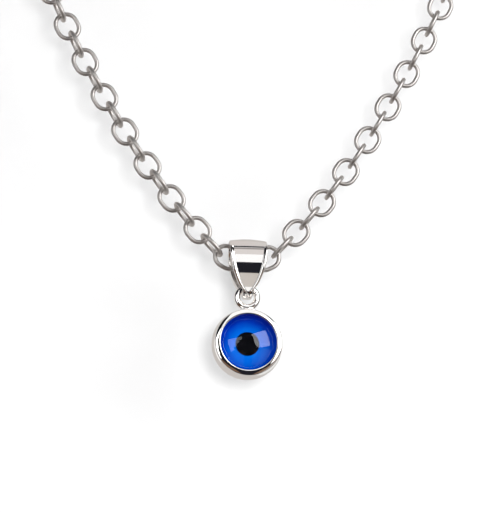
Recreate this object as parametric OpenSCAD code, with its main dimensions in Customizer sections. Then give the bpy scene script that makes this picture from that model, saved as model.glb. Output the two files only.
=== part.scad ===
// Evil eye pendant on its chain, hanging as it is worn.
// +Z is up, the eye looks along -Y, and the origin is under the clasp, at the nape.

/* [Chain] */
// Length of the whole chain, clasp included
chain_length = 450; // [420:5:500]
// Width of the round that the neck takes
neck_d = 100; // [90:1:110]
// Angle of the two legs above level where their lines meet in the bail
leg_angle = 41; // [36:1:46]
// Radius of the chain's bend inside the bail
bend_r = 5; // [4.8:0.1:5.4]
// Thickness of the wire of a link
link_wire = 0.5; // [0.4:0.05:0.55]
// Width of a link, outside
link_w = 3; // [2.8:0.05:3.2]
// Distance from one link to the next, before it is evened out over the loop
link_pitch = 2.38; // [2.3:0.01:2.5]
// Running gap between two links
link_gap = 0.14; // [0.14:0.01:0.16]

/* [Clasp] */
// Length of the barrel
clasp_body = 7; // [6:0.5:10]
// Diameter of the barrel
clasp_d = 3; // [2.4:0.1:3.6]
// Diameter of the eye at each end, outside
clasp_eye_d = 2.8; // [2.6:0.1:3.2]
// Thickness of the wire of an eye
clasp_wire = 0.6; // [0.5:0.05:0.65]

/* [Bail] */
// Width of the bail at its shoulders
bail_w = 4.5; // [4:0.1:4.8]
// Height of the bail
bail_h = 7.05; // [6.75:0.05:8.35]
// Thickness of the bail's metal
bail_wall = 0.45; // [0.4:0.05:0.6]
// Thickness of the bail's metal at its foot, under the ring
foot_wall = 0.8; // [0.45:0.05:0.9]
// Room between the chain and the inside of the bail
chain_play = 0.2; // [0.16:0.01:0.4]
// Gap over the links that the bail hangs on
seat_gap = 0.1; // [0.05:0.01:0.3]

/* [Ring] */
// Diameter of the ring, outside
ring_d = 3.05; // [2.8:0.05:3.6]
// Thickness of the ring's wire
ring_wire = 0.75; // [0.6:0.05:0.8]
// Room between the ring's wire and the inside of the bail's foot
ring_play = 0.2; // [0.16:0.01:0.3]
// Gap between the foot of the bail and the sides of the ring's hole
ring_side_gap = 0.06; // [0.04:0.01:0.1]
// How far the ring can swing to each side on the bail
ring_swing = 25; // [10:1:25]
// Depth that the ring is sunk in the cup where it is soldered
ring_sink = 0.09; // [0.05:0.01:0.3]

/* [Cup] */
// Diameter of the cup at its widest
cup_d = 8.1; // [7.2:0.1:9]
// Thickness of the cup's metal beside the glass
cup_side = 0.51; // [0.5:0.01:0.6]
// How far the lip covers the edge of the glass
lip_cover = 0.3; // [0.25:0.01:0.4]
// Diameter of the round bead that forms the lip
lip_bead = 0.64; // [0.6:0.02:0.7]
// Height of the lip in front of the cup's widest line
lip_rise = 1.7; // [1.6:0.1:2]
// Depth of the cup behind its widest line
cup_back = 0.9; // [0.7:0.1:1.2]
// Thickness of the cup's floor
cup_floor = 0.45; // [0.3:0.05:0.6]
// Bevel round the back of the cup
back_bevel = 0.25; // [0.1:0.05:0.4]
// Radius of the curve of the cup's wall, from lip to back
wall_curve = 2.7; // [2.6:0.1:3.5]

/* [Eye] */
// Radius of the glass dome
dome_r = 5; // [4.6:0.1:6]
// Diameter of the pupil
pupil_d = 2.3; // [1.6:0.1:3]
// Thickness of the pupil
pupil_t = 0.08; // [0.06:0.01:0.12]
// Thickness of the iris
iris_t = 0.25; // [0.15:0.01:0.3]
// Gap round the glass and between the layers of the eye
glass_gap = 0.04; // [0.02:0.01:0.06]
layer_gap = 0.02; // [0.02:0.01:0.04]

/* [Hidden] */
$fn = 40;
degrees = 180 / PI;

// Curve of the hanging legs
function sinh(v) = (exp(v) - exp(-v)) / 2;
function cosh(v) = (exp(v) + exp(-v)) / 2;
function tanh(v) = sinh(v) / cosh(v);
function asinh(v) = ln(v + sqrt(v * v + 1));
neck_r = neck_d / 2;
low_u = asinh(tan(leg_angle));
// Where a leg of catenary size a runs into an arc of radius r about the middle line
function touch_u(a, r, turns = 16) =
    turns == 0 ? low_u + r / a : low_u + r / a * tanh(touch_u(a, r, turns - 1));
function slope(u) = atan(sinh(u));
function half_length(a) =
    let (bend_u = touch_u(a, bend_r), neck_u = touch_u(a, neck_r))
    bend_r * slope(bend_u) / degrees + a * (sinh(neck_u) - sinh(bend_u))
    + neck_r * (180 - slope(neck_u)) / degrees;
// Catenary size that gives the chain its length
function fitted_size(low, high, turns = 32) =
    let (middle = (low + high) / 2)
    turns == 0 ? middle
    : half_length(middle) > chain_length / 2 ? fitted_size(middle, high, turns - 1)
    : fitted_size(low, middle, turns - 1);
leg_size = fitted_size(15, 150);
bend_u = touch_u(leg_size, bend_r);
neck_u = touch_u(leg_size, neck_r);
bend_end = bend_r * slope(bend_u) / degrees;
leg_end = bend_end + leg_size * (sinh(neck_u) - sinh(bend_u));
bend_rise = bend_r * (1 - cos(slope(bend_u)));
leg_rise = bend_rise + leg_size * (cosh(neck_u) - cosh(bend_u));
neck_centre = leg_rise + neck_r * cos(slope(neck_u));

// A point s along the chain from its lowest place: [across, up, angle above level]
function leg_point(u) =
    [leg_size * (u - low_u), bend_rise + leg_size * (cosh(u) - cosh(bend_u)), slope(u)];
function arc_point(r, centre, angle) = [r * sin(angle), centre - r * cos(angle), angle];
function chain_point(s) =
    s < 0 ? [-chain_point(-s)[0], chain_point(-s)[1], -chain_point(-s)[2]]
    : s < bend_end ? arc_point(bend_r, bend_r, s / bend_r * degrees)
    : s < leg_end ? leg_point(asinh(sinh(bend_u) + (s - bend_end) / leg_size))
    : arc_point(neck_r, neck_centre, slope(neck_u) + (s - leg_end) / neck_r * degrees);

// Links: those with an odd number face the front
clasp_eye_r = (clasp_eye_d - clasp_wire) / 2;
clasp_eye_x = clasp_body / 2 + clasp_eye_r - clasp_wire / 2;
clasp_reach = neck_r * asin(clasp_eye_x / neck_r) / degrees;
// From the last link's middle to the middle of the clasp's eye, less half a link
eye_step = clasp_eye_r - clasp_wire / 2 - link_wire / 2 - link_gap;
links_run = chain_length / 2 - clasp_reach - eye_step;
links_a_side = 2 * round((links_run - link_pitch / 2) / link_pitch / 2);
pitch = (links_run - (link_wire + link_gap) / 2) / (links_a_side + 0.5);
link_length = pitch + link_wire + link_gap;
link_across = link_w - link_wire;
clasp_z = neck_centre + sqrt(pow(neck_r, 2) - pow(clasp_eye_x, 2));
origin_z = clasp_z - clasp_d / 2;

// A link spans the chain from half a pitch before its place to half a pitch after it
function link_place(number) =
    let (from = chain_point((number - 0.5) * pitch), to = chain_point((number + 0.5) * pitch))
    [(from[0] + to[0]) / 2, (from[1] + to[1]) / 2, atan2(to[1] - from[1], to[0] - from[0])];

// The bail hangs on the far round ends of the first links on each side
first_link = link_place(1);
first_end = [
    first_link[0] + (link_length - link_across) / 2 * cos(first_link[2]),
    first_link[1] + (link_length - link_across) / 2 * sin(first_link[2])
];
seat_rise = first_end[1] + sqrt(pow(link_w / 2, 2) - pow(bail_w / 2 - first_end[0], 2));
bail_top = seat_rise + seat_gap + bail_wall;
bail_in_r = link_w / 2 + chain_play;
foot_in_r = ring_wire / 2 + ring_play;
bail_axis = bail_top - bail_wall - bail_in_r;
foot_drop = bail_h - bail_wall - bail_in_r - foot_in_r - foot_wall;
ring_axis = bail_axis - foot_drop;

// Half the bail's width against the depth below its top, as shares of bail_w / 2 and bail_h
BAIL_OUTLINE = [
    // depth, half width
    [-0.01, 0.94],
    [0.04, 1],
    [0.23, 1],
    [0.4, 0.94],
    [0.56, 0.83],
    [0.71, 0.62],
    [0.83, 0.45],
    [1.01, 0.3]
];

// The ring, the cup and the layers of the eye behind its lip
ring_r = (ring_d - ring_wire) / 2;
hole_r = ring_r - ring_wire / 2;
ring_z = ring_axis - ring_r;
cup_r = cup_d / 2;
cup_z = ring_z - ring_d / 2 - cup_r + ring_sink;
bore_r = cup_r - cup_side;
glass_r = bore_r - glass_gap;
bead_r = lip_bead / 2;
bead_across = glass_r - lip_cover + bead_r;
bead_y = lip_rise - bead_r;
dome_centre = bead_y - sqrt(pow(dome_r + bead_r + glass_gap, 2) - pow(bead_across, 2));
floor_y = cup_floor - cup_back;
iris_y = floor_y + layer_gap;
pupil_y = iris_y + iris_t + layer_gap;
glass_y = pupil_y + pupil_t + layer_gap;

module torus(across_r, wire_d, turn = 360) {
    rotate_extrude(angle = turn)
        translate([across_r, 0])
            circle(d = wire_d);
}

// A link lies in the XY plane, long along X
module link() {
    run = link_length - link_across;
    for (end = [-1, 1])
        translate([end * run / 2, 0, 0])
            rotate([0, 0, -90 * end])
                torus(link_across / 2, link_wire, 180);
    for (side = [-1, 1])
        translate([0, side * link_across / 2, 0])
            rotate([0, 90, 0])
                cylinder(h = run, d = link_wire, center = true);
}

module placed_link(number) {
    place = link_place(number);
    facing = number % 2 == 1 ? 90 : 0;
    translate([place[0], 0, place[1] - origin_z])
        rotate([0, -place[2], 0])
            rotate([facing, 0, 0])
                link();
}

module chain_right() {
    color("lightgrey")
        for (number = [1:links_a_side])
            placed_link(number);
}

module chain_left() {
    color("lightgrey")
        mirror([1, 0, 0])
            for (number = [0:links_a_side])
                placed_link(number);
}

// A plain barrel with an eye at each end
module clasp() {
    color("silver")
        translate([0, 0, clasp_z - origin_z]) {
            intersection() {
                rotate([0, 90, 0])
                    cylinder(h = clasp_body, d = clasp_d, center = true);
                scale(clasp_body / 2 + clasp_wire)
                    sphere(r = 1);
            }
            for (end = [-1, 1])
                translate([end * clasp_eye_x, 0, 0])
                    rotate([90, 0, 0])
                        torus(clasp_eye_r, clasp_wire);
        }
}

// Teardrop seen from the side: a round top, a small round foot and bowed flanks
module teardrop(top_r, foot_r) {
    flank_r = (pow(top_r, 2) + pow(foot_drop, 2) - pow(foot_r, 2)) / (top_r - foot_r) / 2;
    reach = (foot_r + top_r) / (flank_r - foot_r);
    corner = [(flank_r - top_r) * reach, -foot_drop * (1 + reach)];
    circle(r = top_r);
    translate([0, -foot_drop])
        circle(r = foot_r);
    intersection() {
        translate([flank_r - top_r, 0])
            circle(r = flank_r, $fn = 160);
        translate([top_r - flank_r, 0])
            circle(r = flank_r, $fn = 160);
        polygon([
            [-2 * top_r, 0],
            [2 * top_r, 0],
            corner,
            [0, -foot_drop],
            [-corner[0], corner[1]]
        ]);
    }
}

module bail_outline() {
    side = [for (row = BAIL_OUTLINE) [row[1] * bail_w / 2, -row[0] * bail_h]];
    count = len(side);
    far_side = [for (i = [count - 1:-1:0]) [-side[i][0], side[i][1]]];
    polygon(concat(side, far_side));
}

// Room for the sides of the swinging ring, on one side of the bail's foot
module ring_room() {
    inner = foot_in_r - ring_play / 2;
    outer = foot_in_r + foot_wall + ring_play / 2;
    function half_width(r) = sqrt(pow(hole_r, 2) - pow(ring_r - r, 2)) - ring_side_gap;
    reach = ring_swing + asin((ring_wire / 2 + ring_side_gap) / foot_in_r);
    rotate([0, 90, 0])
        rotate([0, 0, -reach])
            rotate_extrude(angle = 2 * reach)
                polygon([
                    [inner, half_width(inner)],
                    [outer, half_width(outer)],
                    [outer, bail_w],
                    [inner, bail_w]
                ]);
}

module bail() {
    color("silver")
        translate([0, 0, bail_top - origin_z])
            difference() {
                intersection() {
                    translate([0, 0, bail_axis - bail_top])
                        rotate([90, 0, 90])
                            linear_extrude(bail_w + 1, center = true)
                                difference() {
                                    teardrop(bail_in_r + bail_wall, foot_in_r + foot_wall);
                                    teardrop(bail_in_r, foot_in_r);
                                }
                    rotate([90, 0, 0])
                        linear_extrude(4 * bail_in_r, center = true)
                            bail_outline();
                }
                for (side = [0, 1])
                    mirror([side, 0, 0])
                        translate([0, 0, ring_axis - bail_top])
                            ring_room();
            }
}

// Turns a profile of [radius, height in front of the widest line] to face the front
module face_front() {
    translate([0, 0, cup_z - origin_z])
        rotate([90, 0, 0])
            rotate_extrude($fn = 96)
                children();
}

module cup_profile() {
    difference() {
        intersection() {
            translate([cup_r - wall_curve, 0])
                circle(r = wall_curve, $fn = 96);
            polygon([
                [0, -cup_back],
                [cup_r - 2 * back_bevel, -cup_back],
                [cup_r, -cup_back + 2 * back_bevel],
                [cup_r, bead_y],
                [0, bead_y]
            ]);
        }
        translate([-1, floor_y])
            square([bore_r + 1, lip_rise + cup_back]);
    }
    translate([bead_across, bead_y])
        circle(r = bead_r);
}

// Solder between the ring and the cup
module shoulders() {
    top_half = ring_wire * 0.7;
    foot_half = ring_r;
    drop = ring_wire * 1.2;
    translate([0, 0, ring_z - ring_r - origin_z])
        rotate([90, 0, 0])
            linear_extrude(ring_wire * 0.8, center = true)
                polygon([
                    [-top_half, 0],
                    [top_half, 0],
                    [foot_half, -drop],
                    [-foot_half, -drop]
                ]);
}

module setting() {
    color("silver") {
        face_front() cup_profile();
        translate([0, 0, ring_z - origin_z])
            rotate([90, 0, 0])
                torus(ring_r, ring_wire);
        difference() {
            shoulders();
            disc(bore_r, floor_y, lip_rise + cup_back);
        }
    }
}

module disc(r, from, thickness) {
    face_front()
        translate([0, from])
            square([r, thickness]);
}

module glass() {
    color("royalblue", 0.5)
        face_front()
            intersection() {
                translate([0, dome_centre])
                    circle(r = dome_r, $fn = 120);
                translate([0, glass_y])
                    square([glass_r, 2 * dome_r]);
            }
}

module iris() {
    color("blue")
        disc(glass_r, iris_y, iris_t);
}

module pupil() {
    color("black")
        disc(pupil_d / 2, pupil_y, pupil_t);
}

chain_left();
chain_right();
clasp();
bail();
setting();
glass();
iris();
pupil();
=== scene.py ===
# %% [markdown]
# An evil eye pendant on its chain. A blue glass eye sits in a round silver cup, a ring
# soldered to the cup hangs in the foot of a tapered bail, and the bail hangs on a closed
# cable chain. The solid model gives every place and size, and this lesson dresses it:
# each silver piece is modelled again with soft edges, and the glass gets a real lens.

# %% The frame and the values that every step uses
import math

import bmesh
import bpy
from mathutils import Matrix, Vector


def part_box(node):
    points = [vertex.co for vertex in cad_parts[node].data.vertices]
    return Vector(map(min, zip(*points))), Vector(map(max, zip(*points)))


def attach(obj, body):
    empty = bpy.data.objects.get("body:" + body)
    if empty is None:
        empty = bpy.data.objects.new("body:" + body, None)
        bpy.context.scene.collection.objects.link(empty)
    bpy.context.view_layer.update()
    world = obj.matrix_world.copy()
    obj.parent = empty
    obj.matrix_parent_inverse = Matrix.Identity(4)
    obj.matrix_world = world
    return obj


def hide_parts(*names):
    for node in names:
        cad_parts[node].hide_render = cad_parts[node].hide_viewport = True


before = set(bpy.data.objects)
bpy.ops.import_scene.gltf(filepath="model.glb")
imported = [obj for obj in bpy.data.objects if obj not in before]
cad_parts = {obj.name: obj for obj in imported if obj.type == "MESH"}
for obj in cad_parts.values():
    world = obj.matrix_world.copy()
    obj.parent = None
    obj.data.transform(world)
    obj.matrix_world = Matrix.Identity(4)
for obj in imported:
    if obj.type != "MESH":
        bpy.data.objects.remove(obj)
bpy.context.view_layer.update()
MM = 0.001
print("nodes:", sorted(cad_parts))

# %% [markdown]
# The camera comes first, so that every piece can be judged from it. The photo was taken
# from a little below the eye and a little to its left, through a long lens. A wide lens
# close by would make the cup bulge, so the camera stands well away. It looks at the place
# over the eye that is the middle of the photo.

# %% Camera
PHOTO_WIDE, PHOTO_HIGH = 497, 512
PIXELS_PER_MM = 8.82
EYE_PIXEL = (248.5, 342.2)
CAMERA_AWAY = 300 * MM
CAMERA_TURN = math.radians(-7)
CAMERA_RISE = math.radians(-12)
SENSOR_HIGH = 36
LIP_BEAD = 0.64 * MM

cup_low, cup_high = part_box("setting")
iris_low, iris_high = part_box("iris")
glass_low, glass_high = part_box("glass")
eye_centre = (iris_low + iris_high) / 2
lip_y = cup_low.y + LIP_BEAD / 2
target = Vector((0, lip_y, eye_centre.z))
toward_camera = Vector((
    math.sin(CAMERA_TURN) * math.cos(CAMERA_RISE),
    -math.cos(CAMERA_TURN) * math.cos(CAMERA_RISE),
    math.sin(CAMERA_RISE),
))
right = Vector((0, 0, 1)).cross(toward_camera).normalized()
up = toward_camera.cross(right)
across = (PHOTO_WIDE / 2 - EYE_PIXEL[0]) / PIXELS_PER_MM * MM
above = (EYE_PIXEL[1] - PHOTO_HIGH / 2) / PIXELS_PER_MM * MM
photo_middle = target + right * across + up * above

camera_data = bpy.data.cameras.new("photo_camera")
camera = bpy.data.objects.new("photo_camera", camera_data)
bpy.context.scene.collection.objects.link(camera)
camera.location = target + toward_camera * CAMERA_AWAY
looking = camera.location - photo_middle
camera.rotation_euler = looking.to_track_quat("Z", "Y").to_euler()
camera_data.sensor_fit = "VERTICAL"
camera_data.sensor_height = SENSOR_HIGH
camera_data.lens = SENSOR_HIGH * CAMERA_AWAY / (PHOTO_HIGH / PIXELS_PER_MM * MM)
camera_data.clip_start = 0.01
camera_data.clip_end = 5
bpy.context.scene.camera = camera
print("lens", round(camera_data.lens, 1), "mm")

# %% [markdown]
# Helpers. An operator acts on what is selected, and the loaded nodes come in selected, so
# each step first deselects all. Faces and edges are then chosen by a test on their place.

# %% Selecting pieces, faces and edges


def deselect_all():
    for o in bpy.context.selected_objects:
        o.select_set(False)


def activate(piece):
    deselect_all()
    piece.select_set(True)
    bpy.context.view_layer.objects.active = piece
    return piece


def added(name):
    """The piece that the last primitive made, named."""
    piece = bpy.context.active_object
    piece.name = name
    piece.data.name = name
    return piece


def pick(piece, kind, test):
    """Selects the faces or edges of a piece, in edit mode, whose middle passes the test."""
    bpy.ops.object.mode_set(mode="EDIT")
    bpy.ops.mesh.select_mode(type="FACE" if kind == "faces" else "EDGE")
    bpy.ops.mesh.select_all(action="DESELECT")
    mesh = bmesh.from_edit_mesh(piece.data)
    chosen = 0
    for part in getattr(mesh, kind):
        middle = sum((v.co for v in part.verts), Vector()) / len(part.verts)
        if test(part, middle):
            part.select_set(True)
            chosen += 1
    mesh.select_flush_mode()
    bmesh.update_edit_mesh(piece.data)
    return chosen


deselect_all()
print("selected now:", len(bpy.context.selected_objects))

# %% Modifiers, joining and finishing


def add_modifier(piece, kind, **values):
    modifier = piece.modifiers.new(kind.title(), kind)
    for name, value in values.items():
        setattr(modifier, name, value)
    return modifier


def apply_modifiers(piece):
    activate(piece)
    for modifier in list(piece.modifiers):
        bpy.ops.object.modifier_apply(modifier=modifier.name)


def joined(name, pieces):
    """Joins pieces into the first one."""
    deselect_all()
    for piece in pieces:
        piece.select_set(True)
    bpy.context.view_layer.objects.active = pieces[0]
    bpy.ops.object.join()
    pieces[0].name = name
    pieces[0].data.name = name
    return pieces[0]


def settled(piece):
    """Puts a piece's place and turn in its mesh, and leaves its object at the origin."""
    activate(piece)
    bpy.ops.object.transform_apply(location=True, rotation=True, scale=True)
    return piece


def finished(piece, body, material, smooth_below=40):
    """Makes normals point out, shades smooth and hands the piece to the frame."""
    settled(piece)
    bpy.ops.object.mode_set(mode="EDIT")
    bpy.ops.mesh.select_all(action="SELECT")
    bpy.ops.mesh.normals_make_consistent(inside=False)
    bpy.ops.object.mode_set(mode="OBJECT")
    bpy.ops.object.shade_smooth_by_angle(angle=math.radians(smooth_below))
    piece.data.materials.clear()
    piece.data.materials.append(material)
    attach(piece, body)
    print(piece.name, len(piece.data.polygons), "faces")
    return piece


print("helpers for modelling are ready")

# %% [markdown]
# The round pieces of a jewel are turned or spun, and the same goes here. A cylinder with
# bevels would do for a coin, but a cup or a dome curves all the way. So half of its section
# is drawn and spun about the line of sight of the eye, and its ends merge on that line.

# %% Lathe


def empty_piece(name):
    """A plane without its points, in edit mode, and the mesh to draw in."""
    bpy.ops.mesh.primitive_plane_add(size=MM)
    piece = added(name)
    bpy.ops.object.mode_set(mode="EDIT")
    bpy.ops.mesh.select_all(action="SELECT")
    bpy.ops.mesh.delete(type="VERT")
    return piece, bmesh.from_edit_mesh(piece.data)


def lathe(name, profile, centre, steps=128):
    """Spins a profile of (radius, height towards the viewer) about the line of sight."""
    piece, mesh = empty_piece(name)
    points = [mesh.verts.new((centre.x + r, centre.y - rise, centre.z)) for r, rise in profile]
    for start, end in zip(points, points[1:]):
        mesh.edges.new((start, end))
    bmesh.update_edit_mesh(piece.data)
    bpy.ops.mesh.select_all(action="SELECT")
    bpy.ops.mesh.spin(
        steps=steps, angle=math.tau, center=centre, axis=(0, 1, 0), use_auto_merge=False
    )
    bpy.ops.mesh.select_all(action="SELECT")
    bpy.ops.mesh.remove_doubles(threshold=1e-6)
    bpy.ops.object.mode_set(mode="OBJECT")
    return piece


def arc(centre, radius, start, end, count):
    """Points of a profile along an arc, with angles in degrees from the outward direction."""
    angles = [math.radians(start + (end - start) * i / count) for i in range(count + 1)]
    return [(centre[0] + radius * math.cos(a), centre[1] + radius * math.sin(a)) for a in angles]


print("a quarter arc ends at", [round(v, 3) for v in arc((0, 0), 1, 0, 90, 4)[-1]])

# %% [markdown]
# Polished silver is a mirror with a faint warm tint. What keeps it from looking like
# plastic chrome is very fine: hairline polishing marks that stretch the highlights, and a
# breath of tarnish in broad soft patches. Both are one node group, so that the bail, the
# cup, the chain and the clasp share the effect at strengths of their own.

# %% Helpers for nodes


def new_group(name, inputs, outputs):
    group = bpy.data.node_groups.new(name, "ShaderNodeTree")
    for label, kind, value in inputs:
        made = group.interface.new_socket(label, in_out="INPUT", socket_type=kind)
        made.default_value = value
    for label, kind in outputs:
        group.interface.new_socket(label, in_out="OUTPUT", socket_type=kind)
    enter = group.nodes.new("NodeGroupInput")
    leave = group.nodes.new("NodeGroupOutput")
    return group, enter, leave


def add_node(tree, kind, inputs=(), **values):
    """A node with its settings, and each input linked to a socket or set to a value."""
    node = tree.nodes.new(kind)
    for name, value in values.items():
        setattr(node, name, value)
    for name, value in dict(inputs).items():
        if isinstance(value, bpy.types.NodeSocket):
            tree.links.new(value, node.inputs[name])
        else:
            node.inputs[name].default_value = value
    return node


def calculate(tree, operation, *values):
    """A Math node on one or two values."""
    inputs = dict(enumerate(values))
    return add_node(tree, "ShaderNodeMath", inputs, operation=operation).outputs["Value"]


def noise(tree, coordinates, scale, detail):
    inputs = {"Vector": coordinates, "Scale": scale, "Detail": detail}
    return add_node(tree, "ShaderNodeTexNoise", inputs).outputs["Fac"]


def colour_ramp(tree, factor, stops):
    """A ramp over a factor, from rows of (place, colour)."""
    node = add_node(tree, "ShaderNodeValToRGB", {"Fac": factor})
    elements = node.color_ramp.elements
    for element, (place, colour) in zip(elements, (stops[0], stops[-1])):
        element.position = place
        element.color = (*colour, 1)
    for place, colour in stops[1:-1]:
        elements.new(place).color = (*colour, 1)
    return node.outputs["Color"]


print("helpers for nodes are ready")

# %% Node group for polished metal
MARKS_STRETCH = (9000, 9000, 2500)
PATCHES_SCALE = 420.0


def polish_group():
    """Fine polishing marks and soft tarnish over Object coordinates in metres."""
    group, enter, leave = new_group(
        "polished_metal",
        [
            ("Coordinates", "NodeSocketVector", (0, 0, 0)),
            ("Bright", "NodeSocketColor", (0.9, 0.88, 0.86, 1)),
            ("Tarnish", "NodeSocketColor", (0.7, 0.66, 0.62, 1)),
            ("Smoothness", "NodeSocketFloat", 0.04),
            ("Wear", "NodeSocketFloat", 0.05),
        ],
        [
            ("Color", "NodeSocketColor"), ("Roughness", "NodeSocketFloat"),
            ("Height", "NodeSocketFloat"),
        ],
    )
    given = enter.outputs
    stretched = add_node(
        group, "ShaderNodeMapping", {"Vector": given["Coordinates"], "Scale": MARKS_STRETCH}
    )
    marks = noise(group, stretched.outputs["Vector"], 1.0, 2.0)
    patches = noise(group, given["Coordinates"], PATCHES_SCALE, 3.0)
    soft = add_node(
        group, "ShaderNodeMapRange",
        {"Value": patches, "From Min": 0.5, "From Max": 0.8, "To Max": 0.35},
    )
    tint = add_node(
        group, "ShaderNodeMix",
        {"Factor": soft.outputs["Result"], "A": given["Bright"], "B": given["Tarnish"]},
        data_type="RGBA",
    )
    worn = calculate(group, "MULTIPLY", marks, given["Wear"])
    rough = calculate(group, "ADD", worn, given["Smoothness"])
    group.links.new(tint.outputs["Result"], leave.inputs["Color"])
    group.links.new(rough, leave.inputs["Roughness"])
    group.links.new(marks, leave.inputs["Height"])
    return group


METAL = polish_group()
print("polished metal has", len(METAL.nodes), "nodes")

# %% [markdown]
# The bail and the cup are cast and buffed by hand to a mirror. The chain is drawn wire and
# is only tumbled, so its links are duller and a little darker. One function makes both
# silvers, because only the two colours, the roughness and the depth of the marks differ.

# %% Silver of the castings and of the chain


def new_material(name):
    material = bpy.data.materials.new(name)
    material.use_nodes = True
    tree = material.node_tree
    tree.nodes.clear()
    shader = tree.nodes.new("ShaderNodeBsdfPrincipled")
    output = tree.nodes.new("ShaderNodeOutputMaterial")
    tree.links.new(shader.outputs["BSDF"], output.inputs["Surface"])
    return material, tree, shader


def object_coordinates(tree):
    return add_node(tree, "ShaderNodeTexCoord").outputs["Object"]


def silver(name, bright, tarnish, smoothness, wear, mark_depth):
    material, tree, shader = new_material(name)
    metal = add_node(
        tree, "ShaderNodeGroup",
        {
            "Coordinates": object_coordinates(tree), "Bright": (*bright, 1),
            "Tarnish": (*tarnish, 1), "Smoothness": smoothness, "Wear": wear,
        },
        node_tree=METAL,
    )
    bump = add_node(
        tree, "ShaderNodeBump",
        {"Height": metal.outputs["Height"], "Strength": 0.1, "Distance": mark_depth},
    )
    tree.links.new(metal.outputs["Color"], shader.inputs["Base Color"])
    tree.links.new(metal.outputs["Roughness"], shader.inputs["Roughness"])
    tree.links.new(bump.outputs["Normal"], shader.inputs["Normal"])
    shader.inputs["Metallic"].default_value = 1.0
    return material


CAST_SILVER = silver(
    "cast_silver", bright=(0.93, 0.91, 0.89), tarnish=(0.8, 0.76, 0.72),
    smoothness=0.03, wear=0.03, mark_depth=2e-6,
)
CHAIN_SILVER = silver(
    "chain_silver", bright=(0.70, 0.67, 0.645), tarnish=(0.47, 0.44, 0.42),
    smoothness=0.42, wear=0.1, mark_depth=4e-6,
)
print("made", CAST_SILVER.name, "and", CHAIN_SILVER.name)

# %% [markdown]
# The cup is a bowl turned on a lathe, with a lip that is burnished over the edge of the
# glass. Its profile is drawn once as arcs and spun, which gives perfect round reflections;
# a bevelled cylinder would show a crease where each bevel starts. The sizes are read back
# from the solid nodes, so the dressed cup fits the same glass.

# %% Profile values of the cup
CUP_R = (cup_high.x - cup_low.x) / 2
CUP_BACK = cup_high.y
FLOOR = CUP_BACK - 0.45 * MM
BORE_R = (glass_high.x - glass_low.x) / 2 + 0.04 * MM
WALL_CURVE = 2.7 * MM
WALL_FOOT = 0.3 * MM
BACK_IN = 0.8 * MM
BACK_CORNER = 0.4 * MM
LIP_RISE = -cup_low.y
LIP_R = 3.2 * MM
LIP_EDGE = 0.13 * MM
LIP_BROW = 0.9 * MM
LIP_SLOPE = 27
LIP_SHOULDER = 0.2 * MM
LIP_TAPER = 0.02 * MM
LIP_UNDER = 0.32 * MM
BORE_TOP = 0.8 * MM
cup_centre = Vector((0, 0, cup_low.z + CUP_R))
print("cup centre", [round(v / MM, 2) for v in cup_centre], "radius", round(CUP_R / MM, 2))

# %% Cup


def cup_profile():
    """From the middle of the back, round the wall and the lip, to the middle of the floor."""
    wall = (CUP_R - WALL_CURVE, 0)
    wall_start = -math.degrees(math.asin((CUP_BACK - WALL_FOOT) / WALL_CURVE))
    back_edge = CUP_R - BACK_IN
    crest = (LIP_R + LIP_EDGE, LIP_RISE - LIP_EDGE)
    brow = (LIP_R + LIP_EDGE, LIP_RISE - LIP_BROW)
    turn = math.radians(90 - LIP_SLOPE)
    narrower = LIP_BROW - LIP_SHOULDER
    shoulder = (brow[0] + narrower * math.cos(turn), brow[1] + narrower * math.sin(turn))
    points = [(0, -CUP_BACK), (back_edge * 0.5, -CUP_BACK), (back_edge, -CUP_BACK)]
    points += arc((back_edge, BACK_CORNER - CUP_BACK), BACK_CORNER, -80, -35, 5)
    points += arc(wall, WALL_CURVE, wall_start, 26, 18)
    points += arc(shoulder, LIP_SHOULDER, 10, 90 - LIP_SLOPE, 8)
    points += arc(brow, LIP_BROW, 91 - LIP_SLOPE, 88, 12)
    points += arc(crest, LIP_EDGE, 100, 185, 8)
    points += [(LIP_R + LIP_TAPER, LIP_RISE - LIP_UNDER), (BORE_R, LIP_RISE - BORE_TOP)]
    return points + [(BORE_R, -FLOOR), (0, -FLOOR)]


cup = lathe("silver_cup", cup_profile(), cup_centre, steps=160)
print("cup", len(cup.data.polygons), "faces")

# %% [markdown]
# The ring is drawn wire, bent round and soldered to the cup. Solder runs into the corner
# by itself and leaves a hollow curve on each side, wide on the cup and narrow on the wire.
# Pushing the torus into the cup would leave a sharp notch there, so the web of solder is a
# piece of its own that laps into both and is joined with them.

# %% Ring
RING_OUTER = 1.525 * MM
RING_WIRE = 0.75 * MM
RING_R = RING_OUTER - RING_WIRE / 2
ring_centre = Vector((0, 0, cup_high.z - RING_OUTER))
bpy.ops.mesh.primitive_torus_add(
    major_radius=RING_R, minor_radius=RING_WIRE / 2, major_segments=96, minor_segments=32,
    location=ring_centre, rotation=(math.pi / 2, 0, 0),
)
ring = settled(added("ring_wire"))
print("ring", len(ring.data.polygons), "faces")

# %% Solder, and the setting in one piece
LAP_ON_RING = 0.2 * MM
LAP_ON_CUP = 0.45 * MM
WEB_HALF_TOP = 0.55 * MM
WEB_WIDENS = 1.15 * MM
WEB_HOLLOW = 2.4
WEB_THICK = 0.54 * MM
WEB_ROWS = 12


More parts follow.
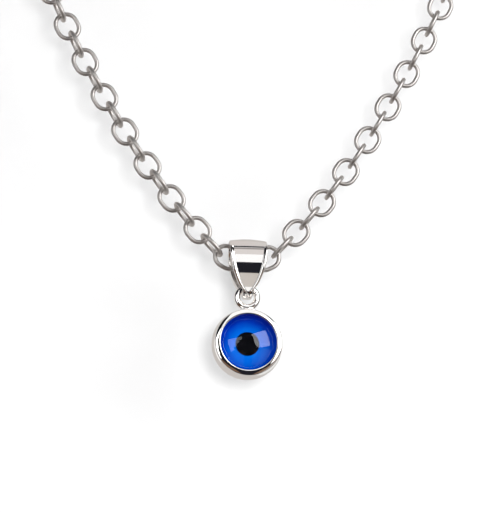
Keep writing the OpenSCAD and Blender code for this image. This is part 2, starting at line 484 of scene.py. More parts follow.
def solder_web():
    """The web between ring and cup, with hollow sides."""
    high = ring_centre.z - RING_R + LAP_ON_RING
    low = cup_centre.z + CUP_R - LAP_ON_CUP
    points = []
    for i in range(WEB_ROWS + 1):
        share = i / WEB_ROWS
        half = WEB_HALF_TOP + WEB_WIDENS * share ** WEB_HOLLOW
        points.append((half, high + (low - high) * share))
    outline = points + [(-x, z) for x, z in reversed(points)]
    web, mesh = empty_piece("solder")
    mesh.faces.new([mesh.verts.new((x, WEB_THICK / 2, z)) for x, z in outline])
    bmesh.update_edit_mesh(web.data)
    bpy.ops.mesh.select_all(action="SELECT")
    bpy.ops.mesh.extrude_region_move(TRANSFORM_OT_translate={"value": (0, -WEB_THICK, 0)})
    bpy.ops.object.mode_set(mode="OBJECT")
    add_modifier(web, "BEVEL", width=0.2 * MM, segments=4, limit_method="ANGLE",
                 angle_limit=math.radians(60))
    apply_modifiers(web)
    return web


setting = joined("silver_setting", [cup, ring, solder_web()])
finished(setting, "drop", CAST_SILVER)
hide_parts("setting")

# %% [markdown]
# The bail is a strip of silver, folded over the chain and pinched to a narrow foot. Seen
# from the side it is a teardrop, and seen from the front a tapered shield with a raised
# border. Bending a flat strip with a modifier would stretch it round the small foot. So a
# strip of quads follows the teardrop, and each row gets the width of the shield.

# %% Sizes of the bail, and its shield as tables
BAIL_WALL = 0.45 * MM
FOOT_WALL = 0.8 * MM
CHAIN_ROOM = 1.7 * MM
FOOT_ROOM = 0.575 * MM
bail_low, bail_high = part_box("bail")
BAIL_HIGH = bail_high.z - bail_low.z
BAIL_HALF = (bail_high.x - bail_low.x) / 2
top_r = CHAIN_ROOM + BAIL_WALL
foot_r = FOOT_ROOM + FOOT_WALL
foot_drop = BAIL_HIGH - top_r - foot_r
bail_axis = bail_high.z - top_r
foot_axis = bail_axis - foot_drop

# Depth below the top as a share of the height, against half the width in mm
SHIELD = [
    (0.0, 2.12), (0.04, 2.21), (0.22, 2.2), (0.4, 2.08), (0.57, 1.83), (0.72, 1.4),
    (0.8, 1.12), (0.83, 0.96), (0.86, 0.66), (0.95, 0.64), (1.0, 0.52),
]
PANEL = [
    (0.16, 1.82), (0.33, 1.72), (0.43, 1.58), (0.57, 1.35), (0.72, 0.97), (0.8, 0.66),
    (0.84, 0.46), (0.88, 0.26), (0.92, 0.06), (0.94, 0.03),
]


def table_value(table, key):
    """Reads a table at a key, on straight lines between its rows."""
    for (k0, v0), (k1, v1) in zip(table, table[1:]):
        if key <= k1:
            return v0 + (v1 - v0) * max(key - k0, 0) / (k1 - k0)
    return table[-1][1]


def smooth_value(table, key, reach=0.02):
    """The same in metres, with the corners between the lines rounded off."""
    around = [table_value(table, key + reach * step / 2) for step in range(-2, 3)]
    return sum(around) / len(around) * MM


print("bail", round(2 * BAIL_HALF / MM, 2), "by", round(BAIL_HIGH / MM, 2), "mm")

# %% Teardrop of the bail, as three arcs a side
PANEL_TOP = 26.5
STEP_TURN = 4.0
STEP_CORNER = 0.5
TOP_ROW_TURN = 6
TOP_ROWS, FLANK_ROWS, FOOT_ROWS = 15, 28, 18


def skin(top_radius, foot_radius):
    """One side of a teardrop as three arcs: over the chain, down the flank and round the foot.
    Each is (centre across, centre height, radius, slant at its start, slant at its end), where
    the slant is the elevation of the outward direction, 90 at the top and -90 at the foot."""
    flank = (top_radius ** 2 + foot_drop ** 2 - foot_radius ** 2) / (top_radius - foot_radius) / 2
    turn = -math.degrees(math.asin(foot_drop / (flank - foot_radius)))
    return [
        (0, bail_axis, top_radius, 90, 0),
        (top_radius - flank, bail_axis, flank, 0, turn),
        (0, foot_axis, foot_radius, turn, -90),
    ]


def skin_point(arcs, leg, share, depth=0):
    """The (distance from the middle plane, height, slant) at a share of one of the arcs."""
    centre, height, radius, first, last = arcs[leg]
    slant = first + (last - first) * share
    turn = math.radians(slant)
    away = centre + (radius - depth) * math.cos(turn)
    return away, height + (radius - depth) * math.sin(turn), slant


def bail_rows():
    """Rows round the teardrop as (side, leg, share), down the front and up the back."""
    step_low = PANEL_TOP - STEP_TURN
    step = [PANEL_TOP + STEP_CORNER, PANEL_TOP, step_low, step_low - STEP_CORNER]
    slants = [90 - TOP_ROW_TURN * i for i in range(TOP_ROWS)]
    slants = [slant for slant in slants if not step[3] < slant < step[0]] + step
    front = [(0, (90 - slant) / 90) for slant in sorted(slants, reverse=True)]
    front += [(1, i / FLANK_ROWS) for i in range(FLANK_ROWS)]
    front += [(2, i / FOOT_ROWS) for i in range(FOOT_ROWS + 1)]
    back = reversed(front[1:-1])
    return [(-1, leg, share) for leg, share in front] + [(1, leg, share) for leg, share in back]


OUTER_SKIN = skin(top_r, foot_r)
INNER_SKIN = skin(CHAIN_ROOM, FOOT_ROOM)
print("the bail has", len(bail_rows()), "rows")

# %% [markdown]
# Across the strip the outer skin has a rounded border and a panel that lies a little lower.
# The panel starts with a crease under the top band, and closes to a point at the foot, where
# the two borders meet and end side by side. Inside, the foot is narrow, so the ring can swing.
# An inset and a bevel would round the panel's point away, so each row is drawn out in full.

# %% One row across the bail
PANEL_DEPTH = 0.11 * MM
STEP_WIDE = 0.13 * MM
CROWN = 0.28 * MM
LEAST_BORDER = 0.2 * MM
BORDER_FOOT = 0.003 * MM
FOOT_INSIDE = 0.42 * MM
FOOT_OPENS = 0.15 * MM
FOOT_OPENS_OVER = 0.4 * MM
INNER_EDGE = 0.05 * MM
INNER_CORNER = 0.08 * MM
REAR_NARROWER, REAR_TURN = 0.09, 50

# Share of the border's width from the outer edge, against its depth in mm
BORDER = [(0.0, 0.2), (0.08, 0.08), (0.28, 0.015), (0.5, 0.0)]


def bail_section(side, leg, share):
    """One row across the strip as (x, depth, arcs) from the outer left round to the inner left."""
    z, slant = skin_point(OUTER_SKIN, leg, share)[1:]
    depth = (bail_high.z - z) / BAIL_HIGH
    half = smooth_value(SHIELD, depth)
    panel = min(smooth_value(PANEL, depth), half - LEAST_BORDER)
    in_panel = side < 0 and slant < PANEL_TOP - STEP_TURN / 2
    middle = PANEL_DEPTH if in_panel else 0
    if side > 0:
        half *= 1 - REAR_NARROWER * min(1, (90 - slant) / REAR_TURN)
    crown = CROWN * max(0, slant - PANEL_TOP) / (90 - PANEL_TOP)
    border = half - panel
    outer = [(-half + border * edge, drop * MM) for edge, drop in BORDER]
    outer += [(-panel - STEP_WIDE, BORDER_FOOT), (-panel, middle), (-panel * 0.97, middle)]
    outer += [(-panel * 0.5, middle), (0, middle)]
    outer = [(x, d + crown * (x / half) ** 2, OUTER_SKIN) for x, d in outer]
    opened = min(max((z - foot_axis + FOOT_OPENS) / FOOT_OPENS_OVER, 0), 1)
    inner_half = min(half - INNER_EDGE, FOOT_INSIDE + opened * BAIL_HALF)
    inner = [(-inner_half, -INNER_EDGE), (-inner_half + INNER_CORNER, 0), (0, 0)]
    inner = [(x, d, INNER_SKIN) for x, d in inner]
    across = outer + [(-x, d, arcs) for x, d, arcs in reversed(outer[:-1])]
    return across + [(-x, d, arcs) for x, d, arcs in inner] + inner[-2::-1]


print("a row has", len(bail_section(-1, 1, 0.5)), "points")

# %% Bail


def build_bail():
    bail, mesh = empty_piece("silver_bail")
    rings = []
    for side, leg, share in bail_rows():
        ring = []
        for x, depth, arcs in bail_section(side, leg, share):
            away, z = skin_point(arcs, leg, share, depth)[:2]
            ring.append(mesh.verts.new((x, side * away, z)))
        rings.append(ring)
    for ring, after in zip(rings, rings[1:] + rings[:1]):
        count = len(ring)
        for i in range(count):
            mesh.faces.new((ring[i], ring[(i + 1) % count], after[(i + 1) % count], after[i]))
    bmesh.update_edit_mesh(bail.data)
    bpy.ops.object.mode_set(mode="OBJECT")
    add_modifier(bail, "SUBSURF", levels=2, render_levels=2)
    apply_modifiers(bail)
    return bail


bail = finished(build_bail(), "bail", CAST_SILVER, smooth_below=75)
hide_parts("bail")

# %% [markdown]
# The eye is three layers: a blue disc, a black disc on it and a clear dome over both. A
# picture of an eye on a blue ball would stay flat when the pendant turns. The dome is a real
# lens, so it makes the pupil look larger and bends the blue at the rim.

# %% Eye pieces
DOME_R = 5.0 * MM
DOME_EDGE = 0.12 * MM
IRIS_EDGE = 0.03 * MM
PUPIL_EDGE = 0.02 * MM
GLASS_R = (glass_high.x - glass_low.x) / 2
pupil_low, pupil_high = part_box("pupil")
PUPIL_R = (pupil_high.x - pupil_low.x) / 2
glass_back = -glass_high.y
dome_tip = -glass_low.y


def glass_profile():
    rim = math.degrees(math.acos(GLASS_R / DOME_R))
    flat = GLASS_R - DOME_EDGE
    points = [(0, glass_back), (GLASS_R * 0.5, glass_back), (flat, glass_back)]
    points += arc((flat, glass_back + DOME_EDGE), DOME_EDGE, -60, 0, 4)
    points += arc((0, dome_tip - DOME_R), DOME_R, rim + 0.4, 90, 40)
    points[-1] = (0, dome_tip)
    return points


def disc_profile(radius, low, high, edge):
    return [(0, low), (radius - edge, low), (radius, low + edge), (radius, high - edge),
            (radius - edge, high), (radius * 0.6, high), (0, high)]


iris_profile = disc_profile(GLASS_R, -iris_high.y, -iris_low.y, IRIS_EDGE)
pupil_profile = disc_profile(PUPIL_R, -pupil_high.y, -pupil_low.y, PUPIL_EDGE)
dome = lathe("glass_dome", glass_profile(), cup_centre, steps=128)
iris = lathe("blue_iris", iris_profile, cup_centre, steps=96)
pupil = lathe("black_pupil", pupil_profile, cup_centre, steps=96)
print("eye pieces", len(dome.data.polygons), len(iris.data.polygons), len(pupil.data.polygons))

# %% [markdown]
# The blue is painted enamel, deepest at the rim and brightest in a ring round the pupil. The
# ring is moved down a little as painted light, so the iris is brighter below, where the dome
# gathers the light from above. The gradient is worked out from the distance to the pupil's
# centre, with fine streaks as a brush leaves them. A small glow stands in for the light that
# real glass passes on inside itself.

# %% Blue enamel
# Place from the pupil's edge to the rim, and colour
IRIS_STOPS = [
    (0.0, (0.0, 0.087, 0.41)), (0.3, (0.0, 0.06, 0.34)), (0.62, (0.0, 0.018, 0.235)),
    (0.88, (0.0, 0.0055, 0.145)), (1.0, (0.009, 0.003, 0.068)),
]
IRIS_FROM, IRIS_TO = 1.2, 3.7
IRIS_WAVER = 0.5
# Painted light: darker above and brighter below, for the light that the dome gathers from above
IRIS_PAINTED_LIGHT_SHIFT = 0.12
IRIS_GLOW = 0.03


def iris_material():
    """Blue by the distance in mm from the middle of the eye, wavered, and moved down as painted
    light from above.
    """
    material, tree, shader = new_material("blue_enamel")
    centred = add_node(
        tree, "ShaderNodeMapping",
        {
            "Vector": object_coordinates(tree),
            "Location": (0, 0, -cup_centre.z / MM), "Scale": (1 / MM, 0, 1 / MM),
        },
    ).outputs["Vector"]
    distance = add_node(tree, "ShaderNodeVectorMath", {0: centred}, operation="LENGTH")
    waver = calculate(tree, "MULTIPLY", noise(tree, centred, 1.3, 3.0), IRIS_WAVER)
    height = add_node(tree, "ShaderNodeSeparateXYZ", {"Vector": centred}).outputs["Z"]
    # Painted light: shifts the gradient so that the iris is brighter below and darker above
    painted_light_shift = calculate(tree, "MULTIPLY", height, IRIS_PAINTED_LIGHT_SHIFT)
    wavered = calculate(tree, "ADD", distance.outputs["Value"], waver)
    spread = add_node(
        tree, "ShaderNodeMapRange",
        {
            "Value": calculate(tree, "ADD", wavered, painted_light_shift),
            "From Min": IRIS_FROM, "From Max": IRIS_TO,
        },
    )
    colour = colour_ramp(tree, spread.outputs["Result"], IRIS_STOPS)
    tree.links.new(colour, shader.inputs["Base Color"])
    tree.links.new(colour, shader.inputs["Emission Color"])
    shader.inputs["Emission Strength"].default_value = IRIS_GLOW
    shader.inputs["Roughness"].default_value = 0.35
    shader.inputs["Specular IOR Level"].default_value = 0.0
    return material


finished(iris, "drop", iris_material(), smooth_below=30)
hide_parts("iris")

# %% [markdown]
# The pupil is black enamel. Pure black looks like a hole in the render, so it keeps a trace
# of grey, with faint specks where the enamel is thinner.

# %% Black enamel
PUPIL_STOPS = [(0.0, (0.0012, 0.0012, 0.0014)), (1.0, (0.003, 0.003, 0.004))]


def pupil_material():
    material, tree, shader = new_material("black_enamel")
    specks = noise(tree, object_coordinates(tree), 900.0, 2.0)
    tree.links.new(colour_ramp(tree, specks, PUPIL_STOPS), shader.inputs["Base Color"])
    shader.inputs["Roughness"].default_value = 0.4
    shader.inputs["Specular IOR Level"].default_value = 0.0
    return material


finished(pupil, "drop", pupil_material(), smooth_below=30)
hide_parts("pupil")

# %% [markdown]
# The dome is clear glass. Its back is bonded to the enamel, so those faces get a glass that
# neither bends nor mirrors; with air behind it, the back would mirror the lights a second
# time. A glass shader also throws a dark shadow, so for shadow rays alone it is made clear.

# %% Glass
FACES_BACK = 0.9


def clear_where(tree, shader, factor):
    """Makes a surface clear as far as a factor says."""
    output = next(n for n in tree.nodes if n.type == "OUTPUT_MATERIAL")
    clear = add_node(tree, "ShaderNodeBsdfTransparent")
    mix = add_node(
        tree, "ShaderNodeMixShader",
        {0: factor, 1: shader.outputs["BSDF"], 2: clear.outputs["BSDF"]},
    )
    tree.links.new(mix.outputs["Shader"], output.inputs["Surface"])


def glass_material(name, index):
    material, tree, shader = new_material(name)
    ripples = noise(tree, object_coordinates(tree), 700.0, 1.0)
    bump = add_node(
        tree, "ShaderNodeBump", {"Height": ripples, "Strength": 0.02, "Distance": 5e-6}
    )
    tree.links.new(bump.outputs["Normal"], shader.inputs["Normal"])
    shader.inputs["Base Color"].default_value = (0.97, 0.98, 1.0, 1)
    shader.inputs["Roughness"].default_value = 0.0
    shader.inputs["IOR"].default_value = index
    shader.inputs["Transmission Weight"].default_value = 1.0
    light_path = add_node(tree, "ShaderNodeLightPath")
    clear_where(tree, shader, light_path.outputs["Is Shadow Ray"])
    return material


clear_glass = glass_material("clear_glass", index=1.5)
finished(dome, "drop", clear_glass, smooth_below=30)
dome.data.materials.append(glass_material("glass_bond", index=1.0))
for face in dome.data.polygons:
    if face.normal.y > FACES_BACK:
        face.material_index = 1
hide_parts("glass")

# %% [markdown]
# The chain hangs in a curve. A short bend under the bail runs into two legs, which follow a
# catenary, the shape of any hanging chain, and a round of the neck closes the loop. A curve
# drawn by eye would not come out at the chain's real length. The size of the catenary sets
# that length, so it is searched for by halving.

# %% Curve of the chain
CHAIN_LONG = 450 * MM
NECK_R = 50 * MM
BEND_R = 5 * MM
LEG_TURN = math.radians(41)
low_u = math.asinh(math.tan(LEG_TURN))


def slope(u):
    """Angle of the catenary above level at its parameter u."""
    return math.atan(math.sinh(u))


def touch_u(size, radius):
    """Where a catenary of a size runs into an arc of a radius about the middle line."""
    u = low_u + radius / size
    for turn in range(20):
        u = low_u + radius / size * math.tanh(u)
    return u


def half_length(size):
    bend_u, neck_u = touch_u(size, BEND_R), touch_u(size, NECK_R)
    leg = size * (math.sinh(neck_u) - math.sinh(bend_u))
    return BEND_R * slope(bend_u) + leg + NECK_R * (math.pi - slope(neck_u))


def fitted_size(low, high):
    for turn in range(40):
        middle = (low + high) / 2
        if half_length(middle) > CHAIN_LONG / 2:
            low = middle
        else:
            high = middle
    return (low + high) / 2


leg_size = fitted_size(15 * MM, 150 * MM)
print("the legs are a catenary of size", round(leg_size / MM, 2), "mm")

# %% Points along the chain
bend_u = touch_u(leg_size, BEND_R)
neck_u = touch_u(leg_size, NECK_R)
bend_end = BEND_R * slope(bend_u)
leg_end = bend_end + leg_size * (math.sinh(neck_u) - math.sinh(bend_u))
bend_rise = BEND_R * (1 - math.cos(slope(bend_u)))
leg_rise = bend_rise + leg_size * (math.cosh(neck_u) - math.cosh(bend_u))
neck_centre = leg_rise + NECK_R * math.cos(slope(neck_u))


def chain_point(run):
    """A point of the curve (across, up), at a run along the chain from its lowest place."""
    if run < 0:
        across, up = chain_point(-run)
        return -across, up
    if run < bend_end:
        turn = run / BEND_R
        return BEND_R * math.sin(turn), BEND_R * (1 - math.cos(turn))
    if run < leg_end:
        u = math.asinh(math.sinh(bend_u) + (run - bend_end) / leg_size)
        rise = leg_size * (math.cosh(u) - math.cosh(bend_u))
        return leg_size * (u - low_u), bend_rise + rise
    turn = slope(neck_u) + (run - leg_end) / NECK_R
    return NECK_R * math.sin(turn), neck_centre - NECK_R * math.cos(turn)


print("the loop is", round(chain_point(CHAIN_LONG / 2)[1] / MM, 1), "mm high")

# %% [markdown]
# A cable chain is one link many times over. The link is modelled once: a torus that is cut
# in two and pulled apart to an oval. Stretching a torus whole would thicken its wire at
# both ends. Each copy is set between two points of the curve, and every second one is
# turned by a quarter, as links have to be.

# %% Sizes of the links and of the clasp that closes the loop
LINK_WIRE = 0.5 * MM
LINK_ACROSS = 2.5 * MM
LINK_GAP = 0.14 * MM
LINKS_A_SIDE = 92
CLASP_BODY = 7 * MM
CLASP_D = 3 * MM
CLASP_WIRE = 0.6 * MM
CLASP_EYE_R = 1.1 * MM
clasp_eye_x = CLASP_BODY / 2 + CLASP_EYE_R - CLASP_WIRE / 2
clasp_reach = NECK_R * math.asin(clasp_eye_x / NECK_R)
eye_step = CLASP_EYE_R - CLASP_WIRE / 2 - LINK_WIRE / 2 - LINK_GAP
links_run = CHAIN_LONG / 2 - clasp_reach - eye_step
pitch = (links_run - (LINK_WIRE + LINK_GAP) / 2) / (LINKS_A_SIDE + 0.5)
link_long = pitch + LINK_WIRE + LINK_GAP
clasp_rise = neck_centre + math.sqrt(NECK_R ** 2 - clasp_eye_x ** 2)
chain_low = CLASP_D / 2 - clasp_rise
print("a link every", round(pitch / MM, 3), "mm")

# %% One link


def model_link():
    bpy.ops.mesh.primitive_torus_add(
        major_radius=LINK_ACROSS / 2, minor_radius=LINK_WIRE / 2,
        major_segments=28, minor_segments=10,
    )
    link = added("link")
    pick(link, "faces", lambda face, middle: middle.x > 0)
    bpy.ops.mesh.separate(type="SELECTED")
    bpy.ops.object.mode_set(mode="OBJECT")
    other = [o for o in bpy.context.selected_objects if o is not link][0]
    other.location.x = link_long - LINK_ACROSS
    link = joined("link", [link, other])
    link.location.x = 0
    for side in (-1, 1):
        pick(link, "edges", lambda edge, middle: edge.is_boundary and middle.y * side > 0)
        bpy.ops.mesh.bridge_edge_loops()
    bpy.ops.mesh.select_all(action="SELECT")
    bpy.ops.transform.translate(value=((LINK_ACROSS - link_long) / 2, 0, 0))
    bpy.ops.object.mode_set(mode="OBJECT")
    return link


link = model_link()
print("link", len(link.data.polygons), "faces")

# %% Copies of the link along the curve


def chain_half(name, side, first):
    """Copies the link along one side of the loop and joins the copies into one piece."""
    copies = []
    for number in range(first, LINKS_A_SIDE + 1):
        start = chain_point((number - 0.5) * pitch)
        end = chain_point((number + 0.5) * pitch)
        turn = math.atan2(end[1] - start[1], end[0] - start[0])
        middle = ((start[0] + end[0]) / 2, (start[1] + end[1]) / 2)
        activate(link)
        bpy.ops.object.duplicate()
        copy = bpy.context.active_object
        copy.location = (side * middle[0], 0, chain_low + middle[1])
        copy.rotation_euler = (math.radians(90 * (number % 2)), -side * turn, 0)
        copies.append(copy)
    return joined(name, copies)


for name, side, first in (("chain_left", -1, 0), ("chain_right", 1, 1)):
    half = chain_half("silver_" + name, side, first)
    finished(half, "chain", CHAIN_SILVER, smooth_below=60)
    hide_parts(name)
bpy.data.objects.remove(link)

# %% [markdown]
# The clasp lies at the nape and the photo does not show it. A turned barrel with a groove
# where its halves meet is the plain thing to expect, with a wire eye at each end. It is
# turned on the same lathe as the cup, laid on its side and bevelled along its ridges.

# %% Clasp


def clasp_profile():
    """Half a barrel, from one tip to the other, as (radius, place along)."""
    half = CLASP_BODY / 2
    full = CLASP_D / 2
    groove = 0.12 * MM
    side = [(0, half), (0.5 * MM, half), (0.75 * MM, half - 0.1 * MM)]
    side += [(full * 0.72, half - 0.42 * MM), (full * 0.9, half - 0.8 * MM)]
    side += [(full, half - 1.5 * MM), (full, 0.35 * MM), (full - groove, 0.2 * MM)]
    side += [(full - groove, 0.05 * MM)]
    return side + [(r, -along) for r, along in reversed(side)]


barrel = lathe("silver_clasp", clasp_profile(), Vector((0, 0, 0)), steps=48)
barrel.rotation_euler.z = math.pi / 2
barrel.location.z = CLASP_D / 2
settled(barrel)
add_modifier(barrel, "BEVEL", width=0.06 * MM, segments=3, limit_method="ANGLE",
             angle_limit=math.radians(20))
apply_modifiers(barrel)
clasp_parts = [barrel]
for side in (-1, 1):
    bpy.ops.mesh.primitive_torus_add(
        major_radius=CLASP_EYE_R, minor_radius=CLASP_WIRE / 2, major_segments=36,
        minor_segments=12, location=(side * clasp_eye_x, 0, CLASP_D / 2),
        rotation=(math.pi / 2, 0, 0),
    )
    clasp_parts.append(settled(added("clasp_eye")))
clasp = finished(joined("silver_clasp", clasp_parts), "chain", CAST_SILVER)
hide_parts("clasp")

# %% [markdown]
# Two large soft lights show in the glass as pale patches. Their places there give their
# directions, since a round dome mirrors each direction once. Lamps are laid out by azimuth,
# zero towards the viewer and growing to the right, and by elevation. The left patch gets
# narrower downward, which one rectangle can't do, so it is made of four panes. A small light
# from the front casts the soft shadow, and no piece mirrors it.

# %% Helper for a soft light
LAMP_AWAY = 250 * MM


def direction(turn, rise):
    turn, rise = math.radians(turn), math.radians(rise)
    return Vector((
        math.sin(turn) * math.cos(rise), -math.cos(turn) * math.cos(rise), math.sin(rise)
    ))


def softbox(name, turn, rise, wide, high, roll, power, away=LAMP_AWAY, around=target):
    """An area lamp that is wide by high degrees, and as bright from any distance."""
    lamp_data = bpy.data.lights.new(name, "AREA")
    lamp = bpy.data.objects.new(name, lamp_data)
    bpy.context.scene.collection.objects.link(lamp)
    lamp_data.shape = "RECTANGLE"
    lamp_data.size = 2 * away * math.tan(math.radians(wide / 2))
    lamp_data.size_y = 2 * away * math.tan(math.radians(high / 2))
    lamp_data.energy = power * lamp_data.size * lamp_data.size_y * math.pi
    lamp.location = around + direction(turn, rise) * away
    aim = direction(turn, rise).to_track_quat("Z", "Y").to_matrix().to_4x4()
    aim = aim @ Matrix.Rotation(math.radians(roll), 4, "Z")
    lamp.rotation_euler = aim.to_euler()
    return lamp


print("to the upper right:", [round(v, 2) for v in direction(45, 45)])

# %% Soft lights
WINDOW_ROLL = 13
PANE_HIGH = 7.8
PANE_POWER = 2.6

# Azimuth and elevation of the middle, and width, in degrees
LEFT_PANES = [(-32.8, 15.1, 37), (-34.9, 6.7, 29), (-36.8, -1.8, 20), (-39, -10.1, 11)]

softbox("right_window", turn=41, rise=17, wide=43, high=38, roll=WINDOW_ROLL, power=4.4)
for number, (turn, rise, wide) in enumerate(LEFT_PANES):
    softbox("left_pane_%d" % number, turn, rise, wide, PANE_HIGH, WINDOW_ROLL, PANE_POWER)
front = softbox("front_light", turn=-2.8, rise=-8.4, wide=7.2, high=7.2, roll=0, power=130)
front.visible_glossy = False
front.visible_camera = False

# %% [markdown]
# The silver has lamps of its own: a pale sheet over the lip of the cup, and a stack of bands
# for the bail. The flat panel of the bail mirrors a narrow upright strip of the room, so each
# band in it is a lamp at about twice the slant of the panel there. Light linking keeps each
# lamp to one piece, so that the glass doesn't mirror it too.

# %% Lamps for the silver
BAND_AWAY = 130 * MM

# Azimuth and elevation of the middle, width and height in degrees, and colour
BANDS = [
    ("top_band", 9, 69.5, 40, 9, (0.62, 0.57, 0.55)),
    ("crease_band", 9, 54.5, 16, 21, (0.34, 0.32, 0.31)),
    ("pale_band", 9, 29.5, 12, 29, (0.74, 0.70, 0.68)),
    ("white_band", 7.3, 8.7, 6, 12.5, (1.08, 1.08, 1.08)),
    ("grey_band", 7.5, -22.3, 6, 19.5, (0.60, 0.56, 0.52)),
    ("foot_band", 8.4, -40, 8, 16, (1.0, 1.0, 1.0)),
]


def lights_only(lamp, piece):
    """Keeps a lamp to one piece."""
    lit = bpy.data.collections.new(lamp.name + "_lights")
    lit.objects.link(piece)
    lamp.light_linking.receiver_collection = lit
    lamp.visible_camera = False


lip_light = softbox("lip_light", turn=12, rise=47, wide=48, high=66, roll=0, power=1.05)
lights_only(lip_light, setting)
bail_middle = (bail_low + bail_high) / 2
for name, turn, rise, wide, high, colour in BANDS:
    lamp = softbox(
        name, turn, rise, wide, high, roll=0, power=1.0, away=BAND_AWAY, around=bail_middle
    )
    lamp.data.color = colour
    lights_only(lamp, bail)

# %% [markdown]
# Everything else that the silver mirrors is a soft surround: pale above and at the sides,
# and dark in front, where the camera stood. Real cards round the jewel would need a studio
# full of planes, so the world holds them as soft-edged patches in azimuth and elevation.
# Only reflections and light see them, and the camera sees a plain pale background.

# %% Node group for a card


def card_group():
    """A soft-edged rectangle on the sphere of directions, as a mask."""
    group, enter, leave = new_group(
        "studio_card",
        [
            ("Azimuth", "NodeSocketFloat", 0.0), ("Elevation", "NodeSocketFloat", 0.0),
            ("Left", "NodeSocketFloat", -10.0), ("Right", "NodeSocketFloat", 10.0),
            ("Low", "NodeSocketFloat", -10.0), ("High", "NodeSocketFloat", 10.0),
            ("Soft", "NodeSocketFloat", 3.0),
        ],
        [("Mask", "NodeSocketFloat")],
    )
    given = enter.outputs
    masks = []
    for value, edge, sign in (("Azimuth", "Left", 1), ("Azimuth", "Right", -1),
                              ("Elevation", "Low", 1), ("Elevation", "High", -1)):
        beyond = calculate(group, "SUBTRACT", given[value], given[edge])
        shared = calculate(group, "DIVIDE", beyond, given["Soft"])
        step = add_node(
            group, "ShaderNodeMapRange",
            {"Value": shared, "From Min": -0.5 * sign, "From Max": 0.5 * sign},
            interpolation_type="SMOOTHSTEP",
        )
        masks.append(step.outputs["Result"])
    mask = masks[0]
    for other in masks[1:]:
        mask = calculate(group, "MULTIPLY", mask, other)
    group.links.new(mask, leave.inputs["Mask"])
    return group


CARD = card_group()
print("a card has", len(CARD.nodes), "nodes")

# %% Cards of the world
# Colour, the card's left, right, low and high edge in degrees, and the softness of its edge
CARDS = [
    ((0.68, 0.63, 0.61), -180, 180, 60, 95, 12),
    ((0.70, 0.69, 0.68), 34, 150, 30, 80, 16),
    ((0.03, 0.03, 0.03), -180, 180, -95, -60, 6),
    ((1.00, 1.00, 1.00), -130, -98, -25, 48, 6),
    ((0.85, 0.85, 0.85), 108, 150, -45, 40, 6),
    ((0.05, 0.05, 0.048), -100, -14, 36, 76, 6),
    ((0.015, 0.015, 0.02), -98, 108, -95, 74, 3),
    ((0.20, 0.12, 0.08), -60, -8, -56, -15, 5),
    ((0.22, 0.14, 0.10), 19, 38, -50, -10, 4),
    ((0.45, 0.42, 0.40), 38, 80, -50, -4, 4),
]
SURROUND = (0.60, 0.57, 0.55)


def lit_colour(tree):
    """The surround with every card laid over it in turn."""
    coordinates = add_node(tree, "ShaderNodeTexCoord")
    parts = add_node(tree, "ShaderNodeSeparateXYZ", {"Vector": coordinates.outputs["Generated"]})
    front = calculate(tree, "MULTIPLY", parts.outputs["Y"], -1.0)
    turn = calculate(tree, "ARCTAN2", parts.outputs["X"], front)
    rise = calculate(tree, "ARCSINE", parts.outputs["Z"])
    azimuth = calculate(tree, "DEGREES", turn)
    elevation = calculate(tree, "DEGREES", rise)
    colour = (*SURROUND, 1)
    for shade, left, right, low, high, soft in CARDS:
        card = add_node(
            tree, "ShaderNodeGroup",
            {
                "Azimuth": azimuth, "Elevation": elevation, "Left": left, "Right": right,
                "Low": low, "High": high, "Soft": soft,
            },
            node_tree=CARD,
        )
        mix = add_node(
            tree, "ShaderNodeMix",
            {"Factor": card.outputs["Mask"], "A": colour, "B": (*shade, 1)}, data_type="RGBA",
        )
        colour = mix.outputs["Result"]
    return colour


print("cards round the jewel:", len(CARDS))

# %% World
SEEN_BEHIND = (0.93, 0.93, 0.93)


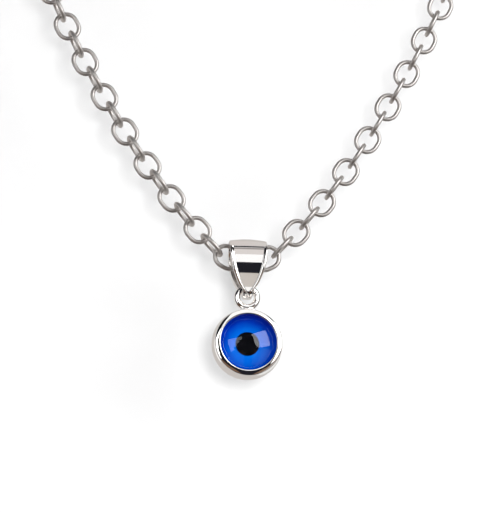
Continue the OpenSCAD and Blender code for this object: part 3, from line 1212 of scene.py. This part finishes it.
def studio_world():
    world = bpy.data.worlds.new("studio")
    bpy.context.scene.world = world
    world.use_nodes = True
    tree = world.node_tree
    tree.nodes.clear()
    light_path = add_node(tree, "ShaderNodeLightPath")
    lit = add_node(tree, "ShaderNodeBackground", {"Color": lit_colour(tree), "Strength": 1.0})
    seen = add_node(tree, "ShaderNodeBackground", {"Color": (*SEEN_BEHIND, 1), "Strength": 1.0})
    either = add_node(
        tree, "ShaderNodeMixShader",
        {
            0: light_path.outputs["Is Camera Ray"],
            1: lit.outputs["Background"], 2: seen.outputs["Background"],
        },
    )
    output = add_node(tree, "ShaderNodeOutputWorld")
    tree.links.new(either.outputs["Shader"], output.inputs["Surface"])


studio_world()
bpy.context.scene.view_settings.view_transform = "Standard"
print("world has", len(bpy.context.scene.world.node_tree.nodes), "nodes")

# %% [markdown]
# The pendant was photographed just in front of a white wall, which catches its soft shadow.
# The wall stays far enough behind for the pendant to swing all the way back. It shows from
# the front only, so that the piece can also be looked at from behind.

# %% Wall and floor
WALL_BEHIND = 15.5 * MM
WALL_MIDDLE_Z = -0.1
FLOOR_Z = -0.29
STUDIO_WIDE = 1.6
DARKER = 0.985


def pale_material(name, pale, glow, one_sided):
    material, tree, shader = new_material(name)
    patches = noise(tree, object_coordinates(tree), 60.0, 4.0)
    stops = [(0.0, [c * DARKER for c in pale]), (1.0, pale)]
    tree.links.new(colour_ramp(tree, patches, stops), shader.inputs["Base Color"])
    shader.inputs["Roughness"].default_value = 0.9
    shader.inputs["Specular IOR Level"].default_value = 0.1
    shader.inputs["Emission Color"].default_value = (*pale, 1)
    shader.inputs["Emission Strength"].default_value = glow
    if one_sided:
        side = add_node(tree, "ShaderNodeNewGeometry")
        clear_where(tree, shader, side.outputs["Backfacing"])
    return material


bpy.ops.mesh.primitive_plane_add(
    size=STUDIO_WIDE, location=(0, WALL_BEHIND, WALL_MIDDLE_Z), rotation=(math.pi / 2, 0, 0)
)
wall = settled(added("wall"))
white = pale_material("white_wall", pale=(0.69, 0.69, 0.69), glow=0.0, one_sided=True)
wall.data.materials.append(white)
wall.visible_glossy = False
bpy.ops.mesh.primitive_plane_add(size=STUDIO_WIDE, location=(0, 0, FLOOR_Z))
floor = settled(added("floor"))
pale = pale_material("pale_floor", pale=(0.8, 0.8, 0.8), glow=0.4, one_sided=False)
floor.data.materials.append(pale)
floor.visible_glossy = False
print("wall", round(WALL_BEHIND / MM, 1), "mm behind the middle of the chain")
